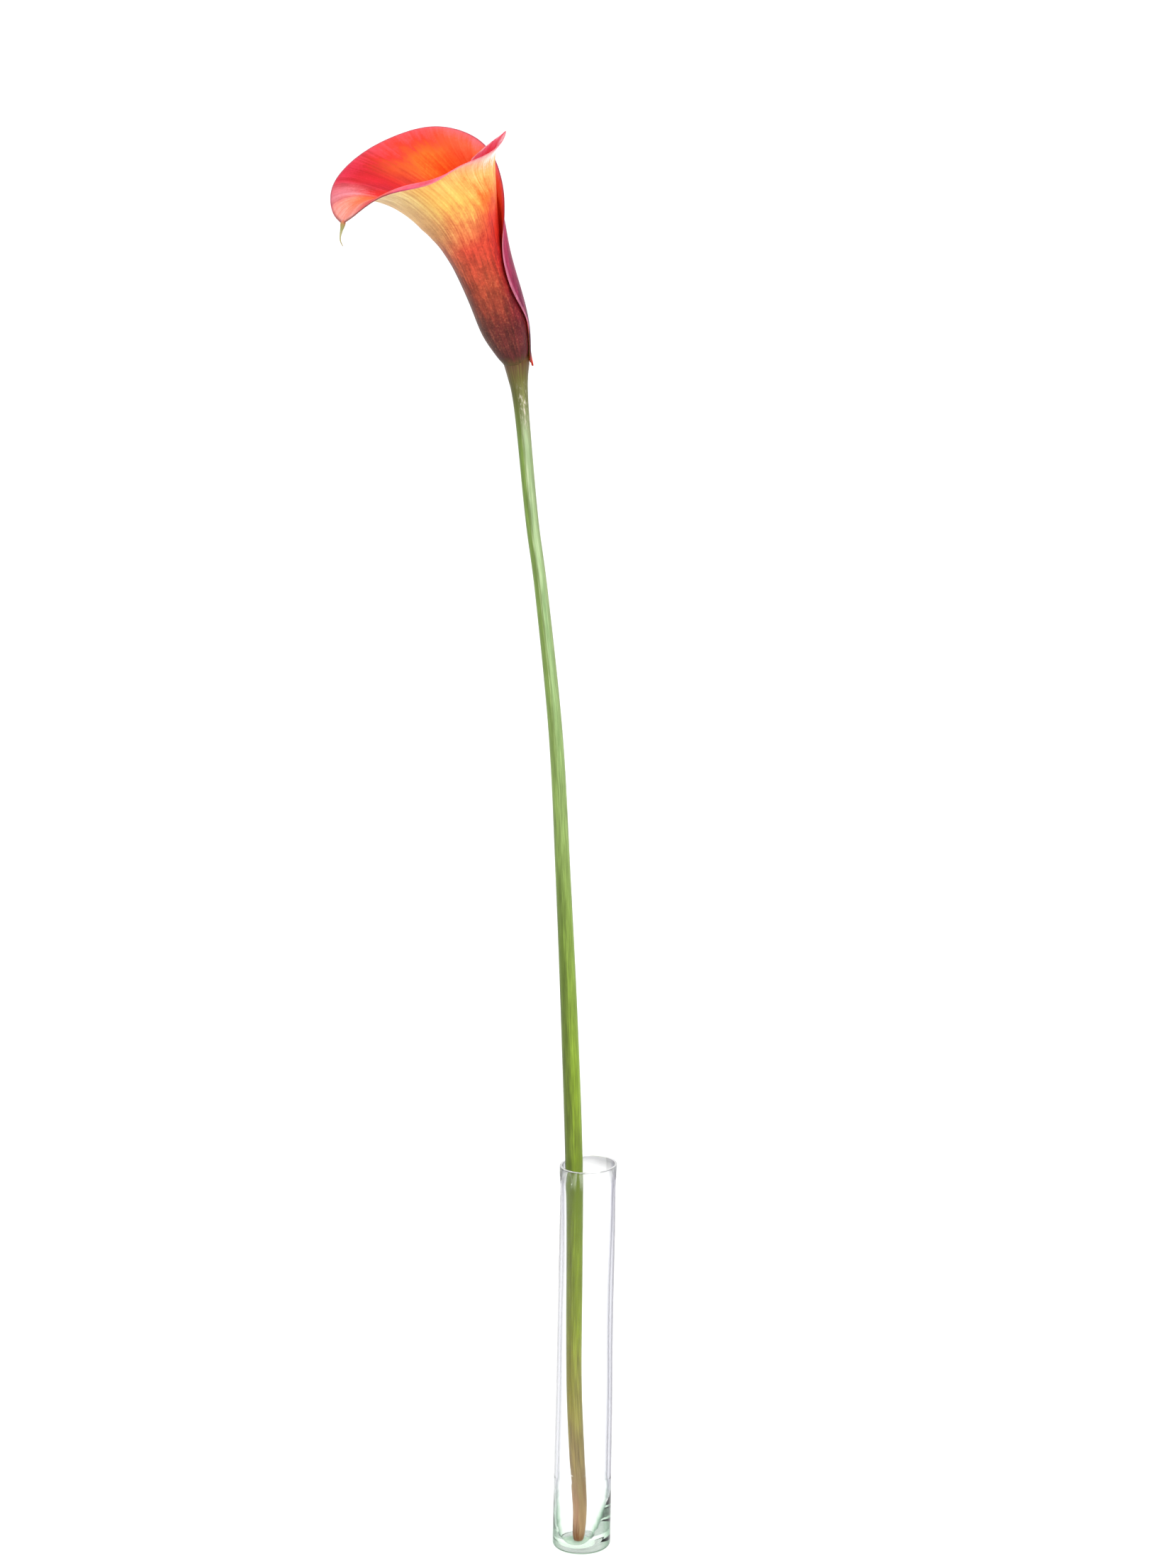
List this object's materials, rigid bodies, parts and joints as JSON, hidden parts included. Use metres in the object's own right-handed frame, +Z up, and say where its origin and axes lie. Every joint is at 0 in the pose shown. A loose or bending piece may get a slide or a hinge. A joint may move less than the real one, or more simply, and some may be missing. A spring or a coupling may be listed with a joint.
{
  "type": "calla lily flower",
  "caption": "Cut calla lily with a rolled funnel-shaped spathe and a hidden spadix on a tall curved stem, standing in a narrow clear glass tube vase with a little water.",
  "frame": {"origin": "middle of the vase's flat foot, on the surface that the vase stands on", "axes": "+Z up along the vase; +X to the side away from which the bloom leans, so the bloom opens towards -X; -Y is the side that the picture was taken from"},
  "size_m": [0.1223, 0.0627, 0.6384],
  "materials": {
    "glass": "clear soda-lime glass with a fire-polished rim and a faint green tint in the thick foot",
    "water": "clear still water",
    "stem": "smooth fresh green stalk, fine lengthwise lines, brownish under water",
    "spadix": "matt golden florets with pollen",
    "spathe": "waxy satin petal, orange-red inside, yellow-orange to dark maroon outside, lengthwise veins"
  },
  "bodies": {
    "root": {"glass_vase": "glass", "water": "water", "stem": "stem", "spadix": "spadix", "spathe": "spathe"}
  },
  "joints": []
}
